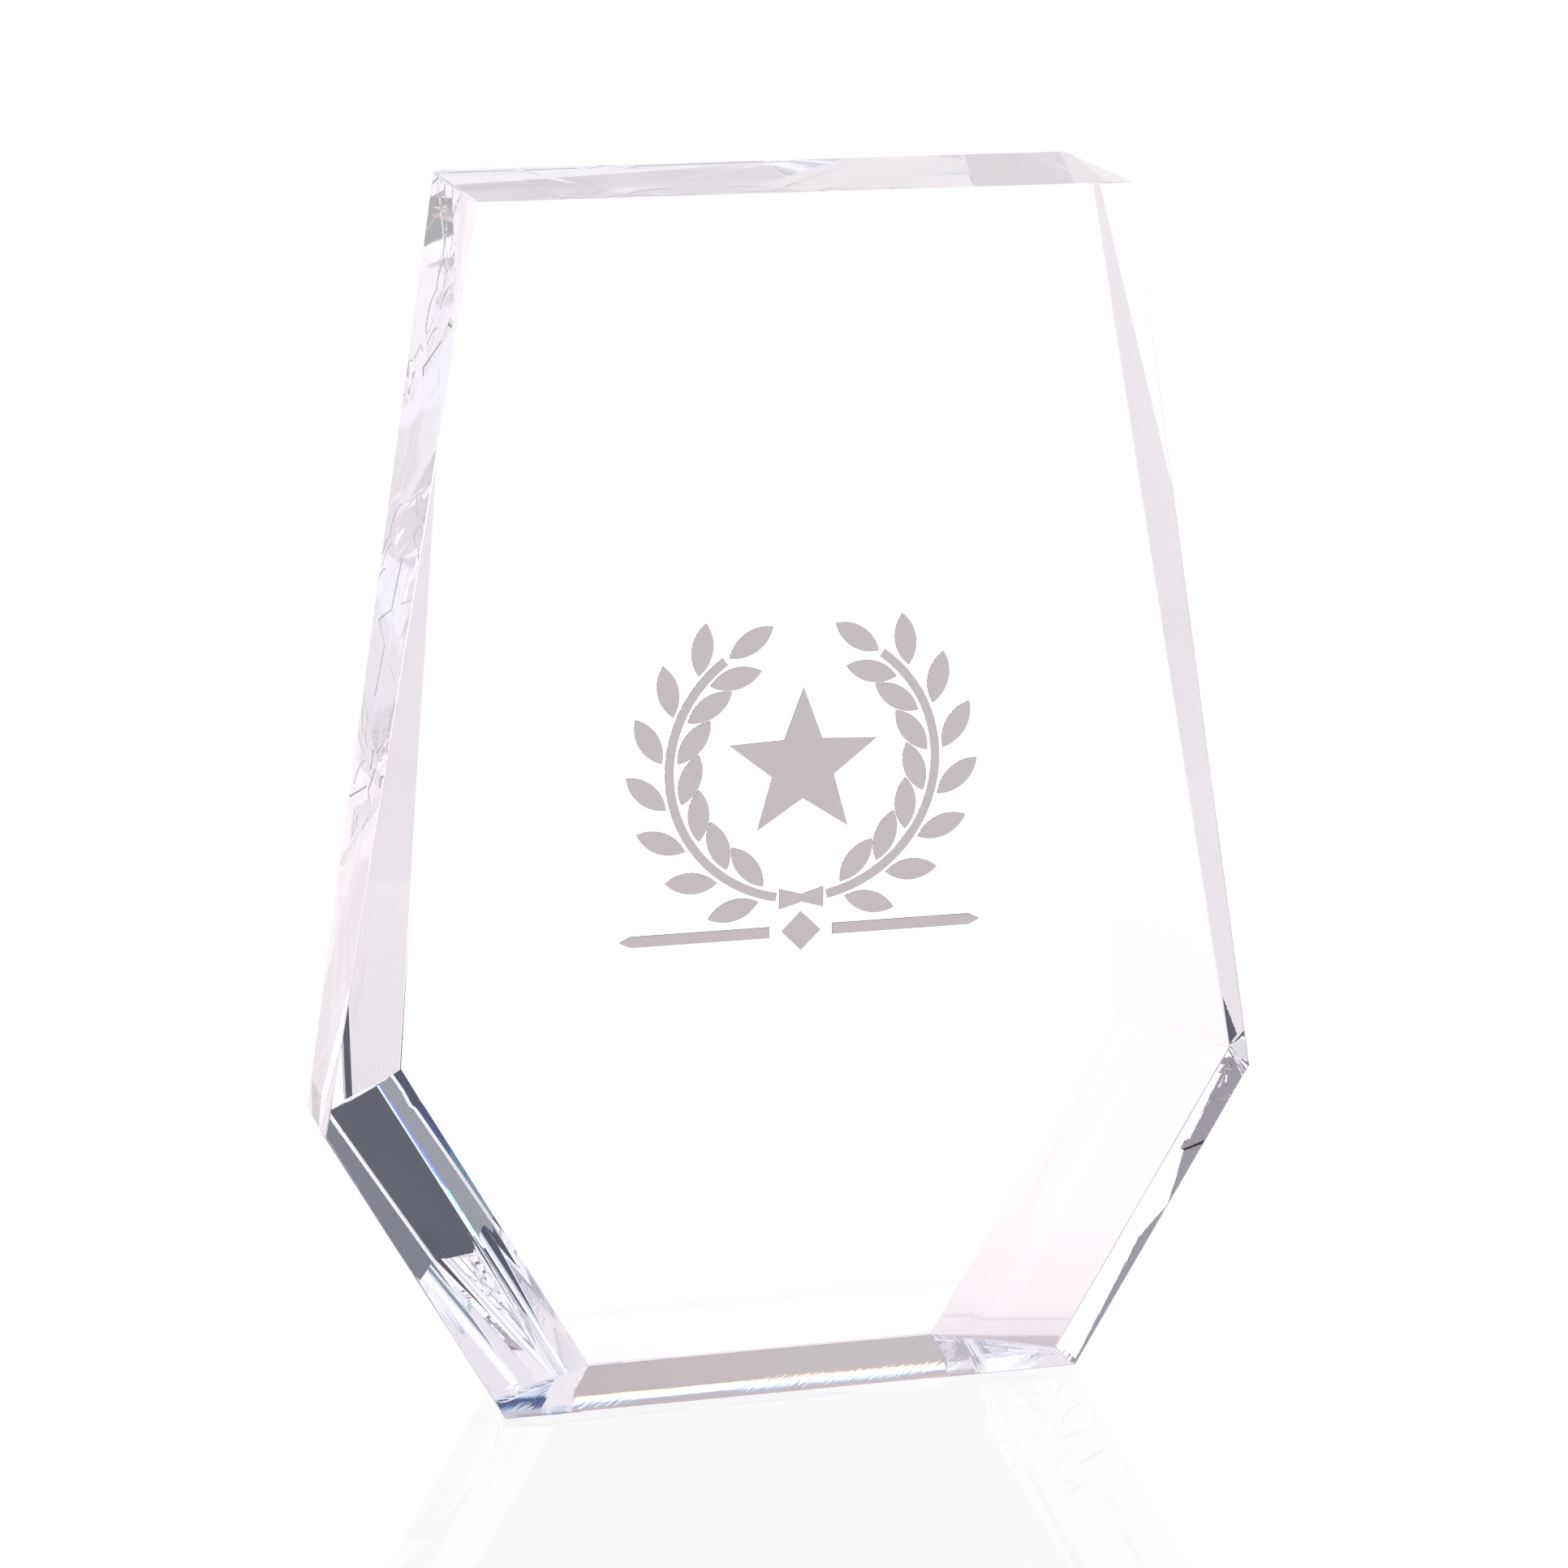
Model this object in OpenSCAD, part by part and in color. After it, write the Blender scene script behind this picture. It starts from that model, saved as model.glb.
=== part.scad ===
// Crystal award: a clear hexagonal block, bevelled on the back, with a grey filled emblem in its front.
// Frame: millimetres, +Z up, X across the front, the front face looks towards -Y.
// Origin: the centre of the bottom face's box, on the surface that the block stands on.

/* [Block] */
// Height from the bottom face to the top face
block_h = 152.4; // [120:0.1:220]
// Thickness from the front face to the back face
block_t = 25.4; // [18:0.1:40]
// Width of the front face at the top
top_w = 80.5; // [70:0.5:100]
// Width of the front face at the shoulders, its widest place
shoulder_w = 119; // [105:0.5:150]
// Width of the front face at the bottom
bottom_w = 74; // [60:0.5:90]
// Height of the shoulders above the bottom face
shoulder_z = 39.1; // [30:0.1:55]

/* [Back bevels] */
// Depth of side face left in front of the bevels, from the shoulders down
girdle_d = 12; // [6:0.1:16]
// Width of the lower bevels, measured square to the lower side on the back
lower_bevel_w = 11.9; // [6:0.1:16]
// Width of the upper bevels at the top corners, where they almost run out
top_bevel_w = 0.75; // [0.2:0.05:4]
// Length of each lower bevel's edge on the back face
lower_bevel_edge = 47.3; // [30:0.1:60]

/* [Emblem] */
// Depth of the etched recesses and of the colour fill in them
etch_d = 0.3; // [0.2:0.05:0.8]
// Height of the wreath's centre above the bottom face
wreath_z = 82.2; // [70:0.1:100]
// Radius of the wreath's two stems
wreath_r = 16.8; // [14:0.1:18]
// Width of a stem
stem_w = 1.1; // [0.6:0.1:2]
// Length of a leaf
leaf_l = 6.6; // [5:0.1:7.5]
// Width of a leaf
leaf_w = 2.7; // [1.6:0.1:3]
// Angle that a leaf leans away from its stem
leaf_lean = 34; // [25:1:45]
// Gap between a leaf and its stem
leaf_gap = 0.45; // [0.3:0.05:0.8]
// Radius of the star's points
star_r = 9.8; // [6:0.1:10]
// Height of the rule's middle line above the bottom face
rule_z = 61.2; // [55:0.1:64]
// Length of the whole rule
rule_l = 46; // [36:0.5:60]
// Width of the rule's line
rule_w = 1.4; // [0.8:0.1:2.5]
// Half height of the lozenge in the middle of the rule
lozenge_r = 2.5; // [1.5:0.1:3]

/* [Hidden] */
$fn = 96;

CLEAR = [0.86, 0.9, 0.94, 0.45];
FILL = [0.77, 0.745, 0.757];

front_y = -block_t / 2;
back_y = block_t / 2;
girdle_y = front_y + girdle_d;
// Larger than the block in every direction, for cuts
reach = 2 * block_h;

// The right lower side as seen from the front: its direction, upwards, and the way into the block
lower_run = [(shoulder_w - bottom_w) / 2, shoulder_z];
lower_dir = lower_run / norm(lower_run);
lower_in = [-lower_dir[1], lower_dir[0]];

// Corners of the right half that the bevels pass through, as [x, y, z]
girdle_shoulder = [shoulder_w / 2, girdle_y, shoulder_z];
girdle_bottom = [bottom_w / 2, girdle_y, 0];
back_bottom_x = bottom_w / 2 + lower_in[0] * lower_bevel_w - lower_dir[0] / lower_dir[1] * lower_in[1] * lower_bevel_w;
back_bottom = [back_bottom_x, back_y, 0];
back_shoulder = [back_bottom_x + lower_dir[0] * lower_bevel_edge, back_y, lower_dir[1] * lower_bevel_edge];
back_top = [top_w / 2 - top_bevel_w, back_y, block_h];

// Each bevel's outward direction, square to its plane
lower_bevel_out = cross(back_bottom - girdle_bottom, girdle_shoulder - girdle_bottom);
upper_bevel_out = cross(back_shoulder - girdle_shoulder, back_top - girdle_shoulder);

// Leaves along one stem: angles of their pairs from the wreath's +X, and of the stem's two ends
first_leaf_a = -72;
last_leaf_a = 42;
leaf_pairs = 7;
stem_start_a = -79;
tip_leaf_a = 56;
stem_end_a = tip_leaf_a - 2;

// A pentagram's inner points lie at this share of its radius
star_inner = 0.42;
tie_w = 5.6;
tie_h = 2.6;
tie_waist = 1;
rule_gap = 4;

// The front's outline
module front_outline() {
    polygon([[-bottom_w / 2, 0], [bottom_w / 2, 0], [shoulder_w / 2, shoulder_z],
             [top_w / 2, block_h], [-top_w / 2, block_h], [-shoulder_w / 2, shoulder_z]]);
}

// Takes away all that lies beyond the plane through the point, on the side that out points to
module beyond(point, out) {
    translate(point)
        rotate([0, acos(out[2] / norm(out)), atan2(out[1], out[0])])
            translate([-reach / 2, -reach / 2, 0])
                cube(reach);
}

// A flat shape drawn as seen from the front, set into the front face to the given depth
module in_front_face(depth) {
    translate([0, front_y + depth, 0])
        rotate([90, 0, 0])
            linear_extrude(depth)
                children();
}

// A leaf from the origin along +X: the lens where two round discs overlap
module leaf_shape() {
    leaf_r = (leaf_l * leaf_l / 4 + leaf_w * leaf_w / 4) / leaf_w;
    intersection() {
        translate([leaf_l / 2, leaf_r - leaf_w / 2]) circle(leaf_r);
        translate([leaf_l / 2, leaf_w / 2 - leaf_r]) circle(leaf_r);
    }
}

// The right branch's leaves, in pairs with one more at the tip
module leaves_shape() {
    step = (last_leaf_a - first_leaf_a) / (leaf_pairs - 1);
    away = stem_w / 2 + leaf_gap;
    translate([0, wreath_z]) {
        for (i = [0 : leaf_pairs - 1], side = [-1, 1])
            rotate(first_leaf_a + i * step)
                translate([wreath_r + side * away, 0])
                    rotate(90 - side * leaf_lean)
                        leaf_shape();
        rotate(tip_leaf_a)
            translate([wreath_r, 0])
                rotate(90)
                    leaf_shape();
    }
}

// The right branch's stem, a curved band
module stem_shape() {
    far = 2 * wreath_r;
    translate([0, wreath_z])
        intersection() {
            difference() {
                circle(wreath_r + stem_w / 2);
                circle(wreath_r - stem_w / 2);
            }
            polygon([[0, 0], far * [cos(stem_start_a), sin(stem_start_a)], [far, 0],
                     far * [cos(stem_end_a), sin(stem_end_a)]]);
        }
}

// The tie that joins the branches, a bow with a narrow waist
module tie_shape() {
    translate([0, wreath_z - wreath_r])
        polygon([[-tie_w / 2, -tie_h / 2], [0, -tie_waist / 2], [tie_w / 2, -tie_h / 2],
                 [tie_w / 2, tie_h / 2], [0, tie_waist / 2], [-tie_w / 2, tie_h / 2]]);
}

module star_shape() {
    translate([0, wreath_z])
        polygon([for (i = [0 : 9])
            (i % 2 == 0 ? star_r : star_r * star_inner) * [cos(90 + 36 * i), sin(90 + 36 * i)]]);
}

// The right half of the rule, pointed at its outer end
module rule_shape() {
    translate([0, rule_z])
        polygon([[rule_gap, -rule_w / 2], [rule_l / 2 - rule_w, -rule_w / 2], [rule_l / 2, 0],
                 [rule_l / 2 - rule_w, rule_w / 2], [rule_gap, rule_w / 2]]);
}

module lozenge_shape() {
    translate([0, rule_z])
        polygon([[-lozenge_r, 0], [0, -lozenge_r], [lozenge_r, 0], [0, lozenge_r]]);
}

// All recesses at once
module emblem_shape() {
    star_shape();
    tie_shape();
    lozenge_shape();
    for (side = [0, 1])
        mirror([side, 0]) {
            stem_shape();
            leaves_shape();
            rule_shape();
        }
}

module block() {
    color(CLEAR)
        difference() {
            translate([0, back_y, 0])
                rotate([90, 0, 0])
                    linear_extrude(block_t)
                        front_outline();
            for (side = [0, 1])
                mirror([side, 0, 0]) {
                    beyond(girdle_shoulder, upper_bevel_out);
                    beyond(girdle_shoulder, lower_bevel_out);
                }
            // The recesses start in front of the face, so that they are open
            translate([0, -etch_d, 0]) in_front_face(2 * etch_d) emblem_shape();
        }
}

module star_fill() {
    color(FILL) in_front_face(etch_d) star_shape();
}

module laurel_left_stem_fill() {
    color(FILL) in_front_face(etch_d) mirror([1, 0]) stem_shape();
}

module laurel_left_leaves_fill() {
    color(FILL) in_front_face(etch_d) mirror([1, 0]) leaves_shape();
}

module laurel_right_stem_fill() {
    color(FILL) in_front_face(etch_d) stem_shape();
}

module laurel_right_leaves_fill() {
    color(FILL) in_front_face(etch_d) leaves_shape();
}

module laurel_tie_fill() {
    color(FILL) in_front_face(etch_d) tie_shape();
}

module rule_left_fill() {
    color(FILL) in_front_face(etch_d) mirror([1, 0]) rule_shape();
}

module rule_lozenge_fill() {
    color(FILL) in_front_face(etch_d) lozenge_shape();
}

module rule_right_fill() {
    color(FILL) in_front_face(etch_d) rule_shape();
}

block();
star_fill();
laurel_left_stem_fill();
laurel_left_leaves_fill();
laurel_right_stem_fill();
laurel_right_leaves_fill();
laurel_tie_fill();
rule_left_fill();
rule_lozenge_fill();
rule_right_fill();
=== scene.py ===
# %% [markdown]
# # A clear cut award block
# The object is one block of clear acrylic, 152 mm tall. Its front is a flat hexagon, and its back
# edges are bevelled, so light bends and bounces inside it. A grey emblem is filled into its front.
# Clear things have no colour of their own: what we see is the studio, bent and mirrored. So this
# lesson spends its care on three things: true edges, true polish, and what stands round the block.

# %% Load the frame
import math

import bpy
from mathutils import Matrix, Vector


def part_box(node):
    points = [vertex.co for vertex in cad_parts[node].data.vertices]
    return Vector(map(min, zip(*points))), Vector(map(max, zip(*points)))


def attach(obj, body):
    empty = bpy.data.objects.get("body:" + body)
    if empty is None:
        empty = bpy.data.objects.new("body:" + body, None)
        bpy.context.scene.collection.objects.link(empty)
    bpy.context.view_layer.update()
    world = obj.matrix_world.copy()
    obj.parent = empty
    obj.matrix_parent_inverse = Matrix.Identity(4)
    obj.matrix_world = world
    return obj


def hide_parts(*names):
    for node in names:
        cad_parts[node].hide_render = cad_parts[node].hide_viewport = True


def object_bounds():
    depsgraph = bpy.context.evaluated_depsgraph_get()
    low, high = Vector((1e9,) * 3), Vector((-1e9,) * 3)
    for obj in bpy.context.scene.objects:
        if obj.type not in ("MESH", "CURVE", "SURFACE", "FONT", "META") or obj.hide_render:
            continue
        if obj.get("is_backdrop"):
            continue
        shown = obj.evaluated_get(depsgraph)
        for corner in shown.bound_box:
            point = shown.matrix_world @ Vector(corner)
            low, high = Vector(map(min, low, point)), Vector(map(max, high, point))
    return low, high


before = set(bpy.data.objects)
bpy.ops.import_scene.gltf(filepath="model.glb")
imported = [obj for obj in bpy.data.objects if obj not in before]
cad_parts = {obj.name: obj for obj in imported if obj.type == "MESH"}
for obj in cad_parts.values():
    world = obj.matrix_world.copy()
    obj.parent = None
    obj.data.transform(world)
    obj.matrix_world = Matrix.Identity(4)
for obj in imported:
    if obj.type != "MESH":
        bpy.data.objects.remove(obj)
cad_low, cad_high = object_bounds()
FILLS = sorted(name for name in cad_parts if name.endswith("_fill"))
print("CAD box", tuple(cad_low), tuple(cad_high))
print("colour fills", FILLS)

# %% [markdown]
# ## The camera
# A product camera stands well back with a long lens, so that the block's sides look nearly
# parallel. Here it looks from the front left and a little from above. It is placed on a sphere
# round the block: an aim point, a distance, two angles and a slight roll.

# %% Camera
AIM = Vector((0.0012, 0.0, 0.0764))
CAMERA_DISTANCE = 0.6368
CAMERA_AZIMUTH, CAMERA_ELEVATION, CAMERA_ROLL = (math.radians(a) for a in (-15.82, 15.40, 0.69))
LENS = 117.56


def on_sphere(azimuth, elevation):
    """A direction: azimuth 0 is towards -Y, where a camera sees the front."""
    level = math.cos(elevation)
    return Vector((math.sin(azimuth) * level, -math.cos(azimuth) * level, math.sin(elevation)))


camera = bpy.data.objects.new("camera", bpy.data.cameras.new("camera"))
bpy.context.scene.collection.objects.link(camera)
camera.data.lens = LENS
camera.data.clip_start, camera.data.clip_end = 0.01, 50
away = on_sphere(CAMERA_AZIMUTH, CAMERA_ELEVATION)
camera.location = AIM + away * CAMERA_DISTANCE
camera.rotation_euler = (-away).to_track_quat("-Z", "Y").to_euler()
camera.rotation_euler.rotate_axis("Z", CAMERA_ROLL)
bpy.context.scene.camera = camera
print("camera at", tuple(round(x, 4) for x in camera.location))

# %% [markdown]
# ## Selecting as by hand
# Mesh tools act on what is selected. These two helpers stand in for a click and for a box select:
# one makes an object active, and the other picks the faces that pass a test.

# %% Helpers for selecting
FLAT = math.radians(0.5)
SNAP = 1e-6


def select_only(thing):
    """One object is selected and active, as after a click on it."""
    bpy.ops.object.select_all(action="DESELECT")
    thing.select_set(True)
    bpy.context.view_layer.objects.active = thing


def pick_faces(thing, wanted):
    """In edit mode, selects the faces for which wanted() is true, and says how many."""
    bpy.ops.mesh.select_mode(type="FACE")
    bpy.ops.mesh.select_all(action="DESELECT")
    bpy.ops.object.mode_set(mode="OBJECT")
    for face in thing.data.polygons:
        face.select = wanted(face)
    count = sum(face.select for face in thing.data.polygons)
    bpy.ops.object.mode_set(mode="EDIT")
    return count


# %% [markdown]
# ## The block, as it comes off the saw
# The CAD block is right in every size, but its mesh is loose triangles. We copy it, merge it into
# flat faces, and set the floors of the etched recesses a hair deeper, so that the colour fill and
# the clear wall behind it never share one plane: two surfaces in one place flicker.

# %% Copy the CAD block, merge it and deepen its recesses
FLOOR_GAP = 0.00002
etch_y = max(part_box(name)[1].y for name in FILLS)
cad_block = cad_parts["block"]
block = bpy.data.objects.new("clear_block", cad_block.data.copy())
bpy.context.scene.collection.objects.link(block)
select_only(block)
bpy.ops.object.mode_set(mode="EDIT")
bpy.ops.mesh.select_all(action="SELECT")
bpy.ops.mesh.remove_doubles(threshold=SNAP)
bpy.ops.mesh.dissolve_limited(angle_limit=FLAT)


def is_recess_floor(face):
    return abs(face.center.y - etch_y) < FLOOR_GAP and abs(face.normal.y) > 1 - SNAP


print("recess floors", pick_faces(block, is_recess_floor))
bpy.ops.transform.translate(value=(0, FLOOR_GAP, 0))
bpy.ops.object.mode_set(mode="OBJECT")
print("block faces", len(block.data.polygons))

# %% [markdown]
# ## What is cast and what is sawn
# The front and back are the sheet's own cast faces, dead flat. The other faces are sawn, then
# polished on a soft wheel. We list the sawn faces, and every edge of the block with the faces that
# meet there, because the wheel treats those edges in its own way.

# %% List the sawn faces and their edges
SMALLEST_SAWN = 20e-6
KEY_DIGITS = 5
sawn = []
for face in block.data.polygons:
    if face.area > SMALLEST_SAWN and abs(face.normal.y) < 1 - SNAP:
        corners = [block.data.vertices[i].co.copy() for i in face.vertices]
        sawn.append((face.normal.copy(), corners))


def cast_normal(point):
    """The normal of the front or back, for an edge that ends on it."""
    return Vector((0, -1, 0)) if abs(point.y - cad_low.y) < SNAP else Vector((0, 1, 0))


def edge_key(start, end):
    """The same for both faces at an edge: its two ends, to a hundredth of a millimetre."""
    return frozenset(tuple(round(c, KEY_DIGITS) for c in corner) for corner in (start, end))


edges = {}
for normal, corners in sawn:
    for start, end in zip(corners, corners[1:] + corners[:1]):
        outward = (end - start).normalized().cross(normal)
        edges.setdefault(edge_key(start, end), []).append((normal, outward, start))
print("sawn faces", len(sawn), "edges", len(edges))

# %% [markdown]
# ## The polishing wheel rolls the edges off
# A soft wheel rubs harder near an edge, so a sawn face is flat in its middle and dips towards its
# edges. It is a dip of a few tenths of a millimetre at most, but light that bounces inside the
# block turns by twice the dip, so whole stripes of the studio appear along each edge. A bevel
# can't make this shape. We do what the wheel does, and take off one thin flat shaving after
# another with bisect. The short lower bevels are polished by hand and dip most towards the back,
# and the bottom dips gently and widely towards the front.

# %% One shaving, and the profiles of the dips
# Each profile says how far from the edge, in metres, the dip reaches which slope, in degrees
BEVEL_TO_BACK = ((0.0064, 0.0), (0.0046, 2.7), (0.0040, 3.0))
BOTTOM_TO_FRONT = ((0.0130, 0.0), (0.0095, 1.5), (0.0030, 2.9), (0.0003, 3.8))
SLIGHT_DIP = ((0.0004, 0.0), (0.0001, 1.0))
# Degrees by which the slope grows from one shaving to the next
SLOPE_STEP = 0.4
CUT_SNAP = SNAP / 10
# How far a direction has to lean: straight down or forward, towards the back, and on a low bevel
STRAIGHT, TOWARDS, LEAN_BACK, LEAN_DOWN = 0.9, 0.5, 0.3, 0.2


def shave(point, normal):
    """Cuts all that lies beyond a plane off the block, and closes the cut."""
    bpy.ops.mesh.select_all(action="SELECT")
    bpy.ops.mesh.bisect(plane_co=point, plane_no=normal, use_fill=True, clear_outer=True,
                        threshold=CUT_SNAP)


def profile_for(normal, outward):
    """The dip of a face whose edge lies in the outward direction."""
    if normal.z < -STRAIGHT and outward.y < -STRAIGHT:
        return BOTTOM_TO_FRONT
    if normal.y > LEAN_BACK and normal.z < -LEAN_DOWN and outward.y > TOWARDS:
        return BEVEL_TO_BACK
    return SLIGHT_DIP


def shavings(profile):
    """(distance from the edge, depth, slope) of each shaving of a dip; the last is at the edge."""
    planes, depth = [], 0.0
    for (far, gentle), (near, steep) in zip(profile, profile[1:] + ((0.0, profile[-1][1]),)):
        count = max(1, round((steep - gentle) / SLOPE_STEP))
        width = (far - near) / count
        for step in range(count):
            slope = math.radians(gentle + (steep - gentle) * (step + 0.5) / count)
            planes.append((far - width * (step + 0.5), depth + width * slope / 2, slope))
            depth += width * slope
    return planes


for name, profile in (("bevel to back", BEVEL_TO_BACK), ("bottom to front", BOTTOM_TO_FRONT),
                      ("others", SLIGHT_DIP)):
    planes = shavings(profile)
    print(name, "shavings", len(planes), "depth at the edge", planes[-1][1])

# %% Roll the sawn faces off at every edge
bpy.ops.object.mode_set(mode="EDIT")
bpy.ops.mesh.select_mode(type="FACE")
for faces_here in edges.values():
    for normal, outward, start in faces_here:
        for distance, depth, slope in shavings(profile_for(normal, outward)):
            shave(start - outward * distance - normal * depth, normal + outward * math.tan(slope))
bpy.ops.object.mode_set(mode="OBJECT")
print("block faces", len(block.data.polygons))

# %% [markdown]
# ## Breaking the edges
# A last touch of the wheel takes each edge's sharpness. It leaves a round about a quarter of a
# millimetre wide, which draws every edge as a fine line of light. Each round is a few more
# shavings, turned step by step from one face's slope to the other's.

# %% Round each edge
EDGE_RADIUS = 0.0002
CORNER_SNAP = SNAP * 5
ROUND_STEPS = 4


def rolled(normal, outward, start):
    """A point and the normal of the last shaving beside an edge."""
    distance, depth, slope = shavings(profile_for(normal, outward))[-1]
    tilted = (normal + outward * math.tan(slope)).normalized()
    return start - outward * distance - normal * depth, tilted


bpy.ops.object.mode_set(mode="EDIT")
for faces_here in edges.values():
    sides = [rolled(*face_here) for face_here in faces_here]
    start = faces_here[0][2]
    if len(sides) == 1:
        sides.append((start, cast_normal(start)))
    (point_a, normal_a), (point_b, normal_b) = sides
    # Where the two shavings meet, as steps along both normals from the sharp corner
    together = normal_a.dot(normal_b)
    gap_a, gap_b = (point_a - start).dot(normal_a), (point_b - start).dot(normal_b)
    square = 1 - together * together
    meet = start + normal_a * ((gap_a - together * gap_b) / square)
    meet += normal_b * ((gap_b - together * gap_a) / square)
    centre = meet - (normal_a + normal_b) * (EDGE_RADIUS / (1 + together))
    for step in range(1, ROUND_STEPS):
        between = normal_a.slerp(normal_b, step / ROUND_STEPS)
        shave(centre + between * EDGE_RADIUS, between)
bpy.ops.mesh.remove_doubles(threshold=CORNER_SNAP)
bpy.ops.object.mode_set(mode="OBJECT")
print("block faces", len(block.data.polygons), "vertices", len(block.data.vertices))

# %% [markdown]
# ## Flat stays flat
# The shavings have to shade as one curve, so the block is shaded smooth, with a crease wherever
# two faces meet at more than 40 degrees. Smooth shading alone would also tilt the light on the
# large flat faces towards the small faces beside them, and inside a clear block every such tilt
# shows as a false crack. So the flat faces are marked as strong, and the Weighted Normal modifier
# lets them keep their own direction right up to their edges.

# %% Smooth the shavings into curves, and let the flat faces stay flat
CREASE = math.radians(40)
FLAT_WITHIN = math.radians(0.05)
flat_normals = [normal for normal, corners in sawn] + [Vector((0, -1, 0)), Vector((0, 1, 0))]


def is_flat(face):
    """True for what is left of the flat faces, false for shavings and rounds."""
    return any(face.normal.angle(normal) < FLAT_WITHIN for normal in flat_normals)


select_only(block)
bpy.ops.object.shade_smooth_by_angle(angle=CREASE)
bpy.ops.object.mode_set(mode="EDIT")
print("flat faces", pick_faces(block, is_flat))
bpy.ops.mesh.mod_weighted_strength(set=True, face_strength="STRONG")
bpy.ops.object.mode_set(mode="OBJECT")
flat_faces = block.modifiers.new("flat_faces", "WEIGHTED_NORMAL")
flat_faces.keep_sharp = True
flat_faces.use_face_influence = True
bpy.ops.object.modifier_apply(modifier="flat_faces")
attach(block, "root")
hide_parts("block")

# %% [markdown]
# ## Node helpers
# The studio and the materials are built from nodes. Two helpers add a Math or a Vector Math node
# and wire it up in one line, so that the recipes below read like formulas.

# %% Node helpers
def wire(tree, sockets, values):
    """Gives sockets numbers, vectors, colours or other nodes' outputs."""
    for socket, value in zip(sockets, values):
        if isinstance(value, bpy.types.NodeSocket):
            tree.links.new(value, socket)
        else:
            socket.default_value = value


def math_node(tree, operation, *values):
    node = tree.nodes.new("ShaderNodeMath")
    node.operation = operation
    wire(tree, node.inputs, values)
    return node.outputs[0]


def vector_node(tree, operation, *values):
    node = tree.nodes.new("ShaderNodeVectorMath")
    node.operation = operation
    wire(tree, node.inputs, values)
    return node.outputs[0]


def new_material(name):
    material = bpy.data.materials.new(name)
    material.use_nodes = True
    tree = material.node_tree
    return material, tree, tree.nodes["Principled BSDF"]


def new_group(name, inputs, outputs):
    """An empty node group. Inputs and outputs are {name: socket type}."""
    group = bpy.data.node_groups.new(name, "ShaderNodeTree")
    for sockets, way in ((inputs, "INPUT"), (outputs, "OUTPUT")):
        for socket, kind in sockets.items():
            group.interface.new_socket(socket, in_out=way, socket_type="NodeSocket" + kind)
    return group, group.nodes.new("NodeGroupInput").outputs, group.nodes.new("NodeGroupOutput").inputs


def use_group(tree, group, **values):
    """Places a group; the values' names are its inputs' names with _ for spaces."""
    node = tree.nodes.new("ShaderNodeGroup")
    node.node_tree = group
    wire(tree, [node.inputs[name.replace("_", " ")] for name in values], values.values())
    return node.outputs


def smooth_step(tree, value, start, end):
    """0 up to start, 1 from end on, and a soft ramp between."""
    node = tree.nodes.new("ShaderNodeMapRange")
    node.interpolation_type = "SMOOTHSTEP"
    wire(tree, node.inputs, (value, start, end, 0.0, 1.0))
    return node.outputs["Result"]


def blend(tree, share, first, second):
    """Two colours mixed: share 0 is the first, 1 the second."""
    node = tree.nodes.new("ShaderNodeMix")
    node.data_type = "RGBA"
    wire(tree, (node.inputs[0], node.inputs[6], node.inputs[7]), (share, first, second))
    return node.outputs[2]


# %% [markdown]
# ## Traces of the work
# Polished acrylic still shows how it was made. The wheel leaves the sawn faces very slightly wavy,
# and under the gloss there are faint strokes of the cutter. Two groups make them, as patterns of
# height in the block's own space, so that the strokes can be used again at another size: they are
# under a micron high on the sides, but much deeper on the base, which is polished least.

# %% Group: the wheel's slow waves
waves_group, inside, result = new_group("wheel_waves", {"Length": "Float", "Height": "Float"},
                                        {"Height": "Float"})
noise = waves_group.nodes.new("ShaderNodeTexNoise")
noise.inputs["Detail"].default_value = 1.0
waves_group.links.new(waves_group.nodes.new("ShaderNodeTexCoord").outputs["Object"],
                      noise.inputs["Vector"])
waves_group.links.new(math_node(waves_group, "DIVIDE", 1.0, inside["Length"]), noise.inputs["Scale"])
height = math_node(waves_group, "MULTIPLY", noise.outputs[0], inside["Height"])
waves_group.links.new(height, result["Height"])
print(waves_group.name, [socket.name for socket in waves_group.interface.items_tree])

# %% Group: the cutter's strokes
STROKE_TURN = (0.0, math.radians(-52), math.radians(18))
PATCH_EDGE = (0.35, 0.65)
marks_group, inside, result = new_group(
    "cutter_strokes", {"Spacing": "Float", "Length": "Float", "Patch": "Float", "Height": "Float"},
    {"Height": "Float"})
place = marks_group.nodes.new("ShaderNodeTexCoord").outputs["Object"]
turn = marks_group.nodes.new("ShaderNodeVectorRotate")
turn.rotation_type = "EULER_XYZ"
turn.inputs["Rotation"].default_value = STROKE_TURN
marks_group.links.new(place, turn.inputs["Vector"])
size = marks_group.nodes.new("ShaderNodeCombineXYZ")
wire(marks_group, size.inputs, (inside["Spacing"], inside["Length"], inside["Length"]))
strokes = marks_group.nodes.new("ShaderNodeTexNoise")
strokes.inputs["Scale"].default_value = 1.0
strokes.inputs["Detail"].default_value = 2.0
marks_group.links.new(vector_node(marks_group, "DIVIDE", turn.outputs[0], size.outputs[0]),
                      strokes.inputs["Vector"])
patches = marks_group.nodes.new("ShaderNodeTexNoise")
patches.inputs["Detail"].default_value = 1.0
marks_group.links.new(place, patches.inputs["Vector"])
marks_group.links.new(math_node(marks_group, "DIVIDE", 1.0, inside["Patch"]), patches.inputs["Scale"])
where = smooth_step(marks_group, patches.outputs[0], *PATCH_EDGE)
height = math_node(marks_group, "MULTIPLY", strokes.outputs[0], where)
marks_group.links.new(math_node(marks_group, "MULTIPLY", height, inside["Height"]), result["Height"])
print(marks_group.name, [socket.name for socket in marks_group.interface.items_tree])

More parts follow.
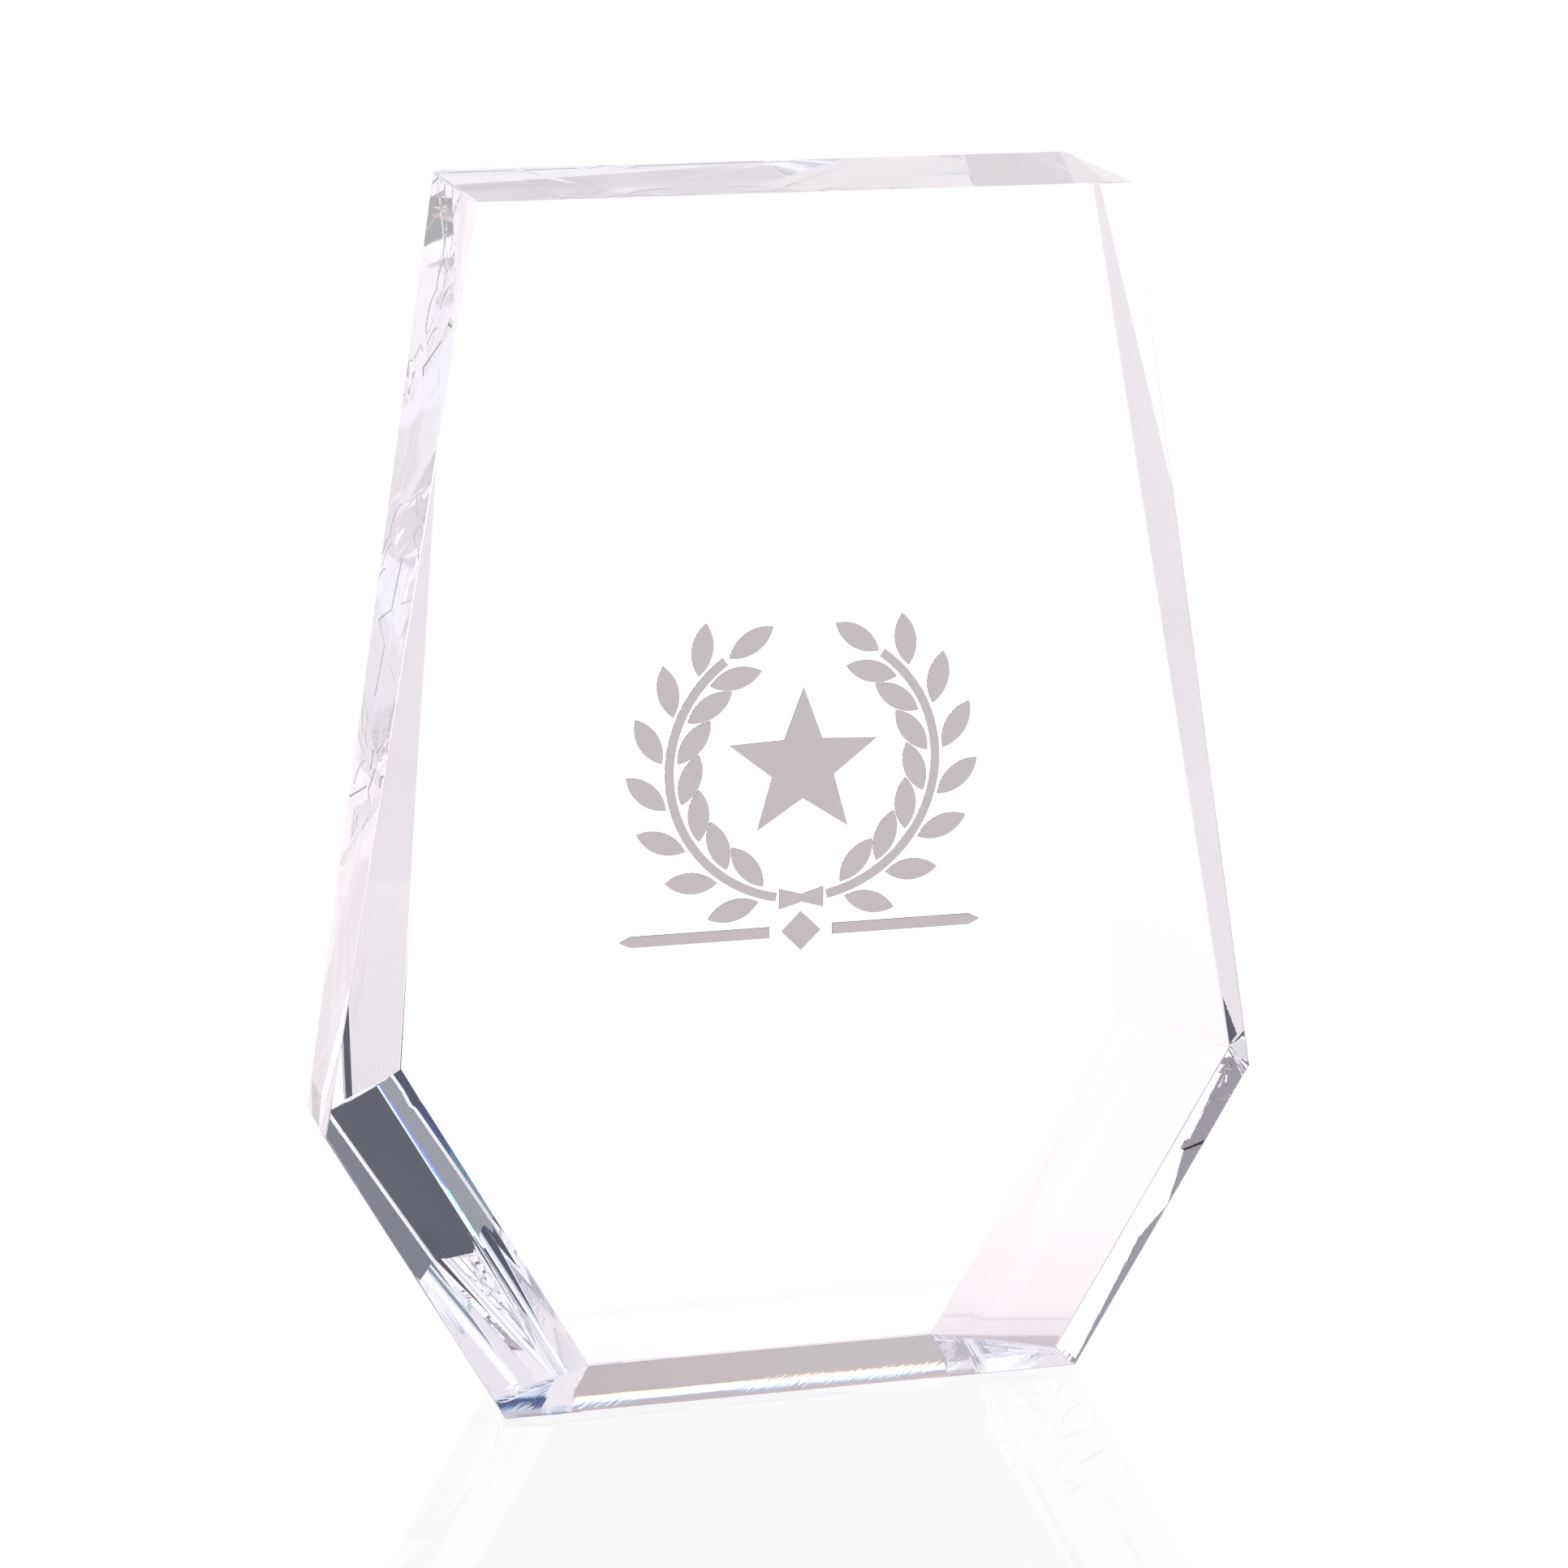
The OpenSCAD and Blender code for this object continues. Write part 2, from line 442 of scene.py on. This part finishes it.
# %% [markdown]
# ## Which faces are sawn
# The cast front and back are perfect, and the sawn faces are slightly tinted, waved and a breath
# less sharp. Two materials would be the simple way, but the block's body belongs to one: light that
# came in through one material and went out through the other would still count as inside. So the
# block has one material, and each face carries a mark for it to read, 1 on sawn faces and 0 on
# cast ones. The walls of the etched recesses don't count as sawn.

# %% Mark the sawn faces
emblem_low = Vector(min(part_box(name)[0][axis] for name in FILLS) for axis in range(3))
emblem_high = Vector(max(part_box(name)[1][axis] for name in FILLS) for axis in range(3))


def is_sawn(face):
    """True unless the face is a cast one or a wall of an etched recess."""
    across = emblem_low.x < face.center.x < emblem_high.x
    in_emblem = across and emblem_low.z < face.center.z < emblem_high.z
    behind_recesses = face.center.y > etch_y + FLOOR_GAP * 2
    return abs(face.normal.y) < 1 - SNAP and (behind_recesses or not in_emblem)


marks = block.data.attributes.new("sawn", "FLOAT", "FACE")
for face, mark in zip(block.data.polygons, marks.data):
    mark.value = float(is_sawn(face))
print("sawn faces", sum(int(mark.value) for mark in marks.data))

# %% [markdown]
# ## Clear acrylic
# Acrylic bends light a little less than glass does: its index is 1.49. It takes a trace of colour
# out of light that travels far in it. Some light never finds its way out between parallel faces,
# and a renderer would show it black. In a real block it leaks out at every tiny flaw, so after many
# bounces we let the surface answer with the pale mean of the studio instead.

# %% Clear acrylic, cast and sawn
ACRYLIC_IOR = 1.49
WHITE = (1, 1, 1, 1)
SAWN_TINT, SAWN_ROUGHNESS = (0.72, 0.66, 0.69, 1), 0.008
acrylic, tree, shader = new_material("clear_acrylic")
shader.inputs["IOR"].default_value = ACRYLIC_IOR
shader.inputs["Transmission Weight"].default_value = 1
mark = tree.nodes.new("ShaderNodeAttribute")
mark.attribute_name = "sawn"
on_sawn = mark.outputs["Fac"]
tree.links.new(blend(tree, on_sawn, WHITE, SAWN_TINT), shader.inputs["Base Color"])
tree.links.new(math_node(tree, "MULTIPLY", on_sawn, SAWN_ROUGHNESS), shader.inputs["Roughness"])
print(acrylic.name, "index", ACRYLIC_IOR)

# %% Waves and strokes on the sawn faces, and deep strokes on the base
BASE_EDGE = (0.0006, 0.0010)
waves = use_group(tree, waves_group, Length=0.030, Height=3e-6)["Height"]
strokes = use_group(tree, marks_group, Spacing=0.00045, Length=0.007, Patch=0.012,
                    Height=0.5e-6)["Height"]
base = tree.nodes.new("ShaderNodeSeparateXYZ")
tree.links.new(tree.nodes.new("ShaderNodeTexCoord").outputs["Object"], base.inputs[0])
on_base = math_node(tree, "SUBTRACT", 1.0, smooth_step(tree, base.outputs["Z"], *BASE_EDGE))
base_strokes = use_group(tree, marks_group, Spacing=0.00035, Length=0.006, Patch=0.012,
                         Height=24e-6)["Height"]
base_strokes = math_node(tree, "MULTIPLY", base_strokes, on_base)
bump = tree.nodes.new("ShaderNodeBump")
bump.inputs["Distance"].default_value = 1.0
height = math_node(tree, "ADD", math_node(tree, "ADD", waves, strokes), base_strokes)
height = math_node(tree, "MULTIPLY", height, on_sawn)
tree.links.new(height, bump.inputs["Height"])
tree.links.new(bump.outputs["Normal"], shader.inputs["Normal"])
print("nodes for the finish", len(tree.nodes))

# %% Light that finds no way out, and the body's own tint
ENOUGH_BOUNCES = 14
STUDIO_MEAN = (1.15, 1.15, 1.20, 1)
BODY_TINT, BODY_DENSITY = (0.937, 0.937, 0.956, 1), 8.0
leak = tree.nodes.new("ShaderNodeEmission")
leak.inputs["Color"].default_value = STUDIO_MEAN
bounces = tree.nodes.new("ShaderNodeLightPath").outputs["Ray Depth"]
lost = math_node(tree, "GREATER_THAN", bounces, ENOUGH_BOUNCES)
answer = tree.nodes.new("ShaderNodeMixShader")
wire(tree, answer.inputs, (lost, shader.outputs[0], leak.outputs[0]))
body = tree.nodes.new("ShaderNodeVolumeAbsorption")
wire(tree, body.inputs, (BODY_TINT, BODY_DENSITY))
surface = tree.nodes["Material Output"].inputs
wire(tree, (surface["Surface"], surface["Volume"]), (answer.outputs[0], body.outputs[0]))
block.data.materials.clear()
block.data.materials.append(acrylic)
print(block.name, "is made of", block.data.materials[0].name)

# %% [markdown]
# ## The grey colour fill
# Paint is wiped into the etched recesses and dries matt, a little uneven and faintly grainy. One
# material on the CAD nodes is enough, because the CAD recesses already hold their exact shape.

# %% Grey colour fill
GREY_DARK, GREY_LIGHT = (0.545, 0.503, 0.520, 1), (0.575, 0.531, 0.549, 1)
CLOUDS_PER_METRE, GRAINS_PER_METRE, GRAIN_HEIGHT = 260, 7000, 6e-6
grey, tree, shader = new_material("grey_fill")
shader.inputs["Roughness"].default_value = 0.8
shader.inputs["Specular IOR Level"].default_value = 0.2
cloud = tree.nodes.new("ShaderNodeTexNoise")
cloud.inputs["Scale"].default_value = CLOUDS_PER_METRE
cloud.inputs["Detail"].default_value = 3
grain = tree.nodes.new("ShaderNodeTexNoise")
grain.inputs["Scale"].default_value = GRAINS_PER_METRE
place = tree.nodes.new("ShaderNodeTexCoord").outputs["Object"]
for texture in (cloud, grain):
    tree.links.new(place, texture.inputs["Vector"])
tree.links.new(blend(tree, cloud.outputs[0], GREY_DARK, GREY_LIGHT), shader.inputs["Base Color"])
bump = tree.nodes.new("ShaderNodeBump")
bump.inputs["Distance"].default_value = 1.0
tree.links.new(math_node(tree, "MULTIPLY", grain.outputs[0], GRAIN_HEIGHT), bump.inputs["Height"])
tree.links.new(bump.outputs["Normal"], shader.inputs["Normal"])
for name in FILLS:
    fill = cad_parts[name]
    fill.data.materials.clear()
    fill.data.materials.append(grey)
print("fills of", grey.name, len(FILLS))

# %% [markdown]
# ## The floor
# The block stands on a glossy white sheet, lit so well that it reads as paper white and mirrors
# the block only faintly. What the sheet mirrors is taken off its own light, so that it stays one
# even white except where it mirrors the block. Light that comes through the block finds more on
# it, all painted into the sheet's glow: it is painted brighter behind, with painted shade near the
# block, a darker painted shade under it and a faint painted shadow line along behind. The camera
# itself sees only even white, as after retouching.

# %% The sheet
FLOOR_IOR = 1.4
FLOOR_SIZE, FLOOR_DROP = 8, 0.0002
bpy.ops.mesh.primitive_plane_add(size=FLOOR_SIZE, location=(0, 0, -FLOOR_DROP))
floor = bpy.context.object
floor.name = "floor"
floor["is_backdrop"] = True
white, tree, shader = new_material("white_floor")
shader.inputs["Base Color"].default_value = (0, 0, 0, 1)
shader.inputs["Roughness"].default_value = 0.01
shader.inputs["IOR"].default_value = FLOOR_IOR
shader.inputs["Emission Strength"].default_value = 1
floor.data.materials.append(white)
print(floor.name, tuple(floor.dimensions))

# %% The sheet's light, as the block sees it, with painted light and shade
# The glow is dimmer in front and brighter behind: painted shade and painted light
FLOOR_FRONT, FLOOR_BEHIND = (1.12, 1.10, 1.12, 1), (1.31, 1.28, 1.30, 1)
# Painted shade near the block, a painted shadow line behind it and painted shade under it
SHADE, SHADOW_LINE, SHADE_UNDER_BLOCK = (0.90, 0.89, 0.90, 1), (0.91, 0.90, 0.91, 1), (0.72, 0.70, 0.72, 1)
# Where it brightens towards the back, and where the painted shade fades to either side, along Y
BRIGHTENS, SHADE_FADES = (0.0, 0.05), (0.013, 0.20)
# The painted shadow line's place, half width and softness along Y, and how softly it ends along X
LINE_Y, LINE_HALF, LINE_SOFT, LINE_END_SOFT = 0.0305, 0.0006, 0.0022, 0.002
# Half of the block's foot along X and Y, and the softness of the painted shade under it
FOOT_X, FOOT_Y, FOOT_X_SOFT, FOOT_Y_SOFT = 0.036, 0.0115, 0.004, 0.003


def near(tree, value, centre, half, soft):
    """1 within half of a centre, fading to 0 over a soft edge."""
    distance = math_node(tree, "ABSOLUTE", math_node(tree, "SUBTRACT", value, centre))
    return math_node(tree, "SUBTRACT", 1.0, smooth_step(tree, distance, half, half + soft))


place = tree.nodes.new("ShaderNodeSeparateXYZ")
tree.links.new(tree.nodes.new("ShaderNodeTexCoord").outputs["Object"], place.inputs[0])
x, y = place.outputs["X"], place.outputs["Y"]
light = blend(tree, smooth_step(tree, y, *BRIGHTENS), FLOOR_FRONT, FLOOR_BEHIND)
# Painted shade near the block, fading away from it
reach = smooth_step(tree, math_node(tree, "ABSOLUTE", y), *SHADE_FADES)
light = vector_node(tree, "MULTIPLY", light, blend(tree, reach, SHADE, WHITE))
# A painted shadow line along behind the block
shadow_line = math_node(tree, "MULTIPLY", near(tree, y, LINE_Y, LINE_HALF, LINE_SOFT),
                 near(tree, x, 0.0, FOOT_X, LINE_END_SOFT))
light = vector_node(tree, "MULTIPLY", light, blend(tree, shadow_line, WHITE, SHADOW_LINE))
# Painted shade under the block's foot
shade_under = math_node(tree, "MULTIPLY", near(tree, x, 0.0, FOOT_X, FOOT_X_SOFT),
                  near(tree, y, 0.0, FOOT_Y, FOOT_Y_SOFT))
light = vector_node(tree, "MULTIPLY", light, blend(tree, shade_under, WHITE, SHADE_UNDER_BLOCK))
print("nodes for the sheet's light", len(tree.nodes))

# %% The sheet's light, as the camera sees it, less what it mirrors
FLOOR_SEEN = (1.012, 1.008, 1.02, 1)
WHITE_ROOM = 1.05
seen = tree.nodes.new("ShaderNodeLightPath").outputs["Is Camera Ray"]
light = blend(tree, seen, light, FLOOR_SEEN)
mirrored = tree.nodes.new("ShaderNodeFresnel")
mirrored.inputs["IOR"].default_value = FLOOR_IOR
mirrored = math_node(tree, "MULTIPLY", mirrored.outputs[0], WHITE_ROOM)
light = vector_node(tree, "SUBTRACT", light, mirrored)
light = vector_node(tree, "MAXIMUM", light, (0, 0, 0))
tree.links.new(light, shader.inputs["Emission Color"])
print("the sheet's index", FLOOR_IOR, "and its room", WHITE_ROOM)

# %% [markdown]
# ## The studio
# Everything that the block shows is a card or a lamp somewhere in the room. The world shader hangs
# soft-edged cards in a pale room, each placed by its bearing and height in degrees. The dark cards
# at the right and behind the camera give the low bevels their slate, and a narrow white strip in
# the dark one, with a grey strip beside it, gives them their stripes along the back. Light of
# each colour bends by its own amount in acrylic, so the cards' edges get thin rainbow fringes. The
# group works on red, green and blue at once, each looking in a slightly different direction. The
# cards are for light that has passed through the block; all else sees a plain white room.

# %% Group: one card
card_group, inside, result = new_group(
    "studio_card",
    {"Behind": "Color", "Bearing": "Vector", "Height": "Vector", "Centre": "Float",
     "Half Width": "Float", "Low": "Float", "High": "Float", "Softness": "Float", "Colour": "Color"},
    {"Colour": "Color"})
HALF_TURN = Vector((180, 180, 180))
turned = vector_node(card_group, "SUBTRACT", inside["Bearing"], inside["Centre"])
turned = vector_node(card_group, "WRAP", turned, HALF_TURN, -HALF_TURN)
sideways = vector_node(card_group, "SUBTRACT", inside["Half Width"],
                       vector_node(card_group, "ABSOLUTE", turned))
above = vector_node(card_group, "SUBTRACT", inside["Height"], inside["Low"])
below = vector_node(card_group, "SUBTRACT", inside["High"], inside["Height"])
nearest = vector_node(card_group, "MINIMUM", sideways, vector_node(card_group, "MINIMUM", above, below))
share = vector_node(card_group, "DIVIDE", nearest, inside["Softness"])
share = vector_node(card_group, "ADD", share, (0.5, 0.5, 0.5))
share = vector_node(card_group, "MAXIMUM", share, (0, 0, 0))
share = vector_node(card_group, "MINIMUM", share, (1, 1, 1))
change = vector_node(card_group, "SUBTRACT", inside["Colour"], inside["Behind"])
change = vector_node(card_group, "MULTIPLY", change, share)
card_group.links.new(vector_node(card_group, "ADD", inside["Behind"], change), result["Colour"])
print(card_group.name, [socket.name for socket in card_group.interface.items_tree])

# %% The cards
# Bearing from +Y towards +X, half width, lowest, highest and softness in degrees, then colour.
# A later card hangs in front of the earlier ones.
ROOM = (0.80, 0.79, 0.85, 1)
CARDS = {
    "pale_horizon": (0, 400, -95, 8, 6, (1.38, 1.36, 1.38, 1)),
    "back_grey": (15, 60, 10, 44, 4, (0.52, 0.475, 0.49, 1)),
    "strip_light": (15, 45, 14.5, 17.5, 1, (1.15, 1.15, 1.15, 1)),
    "ceiling": (0, 400, 45, 95, 5, (1.10, 1.09, 1.12, 1)),
    "right_side": (106, 19, 8, 44, 4, (0.13, 0.145, 0.20, 1)),
    "left_grey": (-70, 18, 12, 44, 4, (0.34, 0.325, 0.37, 1)),
    "left_back_box": (-40.5, 12, 18, 38, 3, (1.6, 1.6, 1.62, 1)),
    "front_left_box": (-140, 13, 14, 42, 4, (1.5, 1.5, 1.5, 1)),
    "front_right_box": (142, 24, 8, 36, 3, (1.5, 1.5, 1.52, 1)),
    "blue_gap": (41, 7, 41, 49, 2, (0.05, 0.08, 0.22, 1)),
    "camera_side": (180, 14, 8, 38, 4, (0.050, 0.058, 0.092, 1)),
    "front_strip": (-169.2, 1.8, 8, 38, 0.4, (1.3, 1.3, 1.3, 1)),
    "strip_shade": (-172.5, 1.5, 8, 38, 0.8, (0.30, 0.31, 0.36, 1)),
}
COLOUR_SPREAD = 0.3
world = bpy.data.worlds.new("studio")
bpy.context.scene.world = world
world.use_nodes = True
tree = world.node_tree
direction = tree.nodes.new("ShaderNodeSeparateXYZ")
tree.links.new(tree.nodes.new("ShaderNodeTexCoord").outputs["Generated"], direction.inputs[0])
bearing = math_node(tree, "ARCTAN2", direction.outputs["X"], direction.outputs["Y"])
bearing = math_node(tree, "DEGREES", bearing)
height = math_node(tree, "DEGREES", math_node(tree, "ARCSINE", direction.outputs["Z"]))
spread = (-COLOUR_SPREAD, 0, COLOUR_SPREAD)
bearing = vector_node(tree, "ADD", bearing, spread)
height = vector_node(tree, "ADD", height, spread)
colour = ROOM
for name, (centre, half_width, low, high, softness, card_colour) in CARDS.items():
    card = use_group(tree, card_group, Behind=colour, Bearing=bearing, Height=height, Centre=centre,
                     Half_Width=half_width, Low=low, High=high, Softness=softness, Colour=card_colour)
    colour = card["Colour"]
through = tree.nodes.new("ShaderNodeLightPath").outputs["Is Transmission Ray"]
colour = blend(tree, through, (WHITE_ROOM, WHITE_ROOM, WHITE_ROOM, 1), colour)
tree.links.new(colour, tree.nodes["Background"].inputs["Color"])
print("cards", len(CARDS))

# %% [markdown]
# ## Colours and bounces
# The Standard view keeps the studio's whites as they were set. A clear block needs many bounces,
# more than those after which the acrylic answers for lost light.

# %% Colours as they are, and enough bounces for the block
MOST_BOUNCES = 24
scene = bpy.context.scene
scene.view_settings.view_transform = "Standard"
scene.cycles.max_bounces = MOST_BOUNCES
scene.cycles.transmission_bounces = MOST_BOUNCES
scene.cycles.glossy_bounces = MOST_BOUNCES
print("bounces", MOST_BOUNCES)

# %% [markdown]
# ## Finish
# Last, the box round all that is shown, apart from the floor, is measured again.

# %% Finish
low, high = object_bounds()
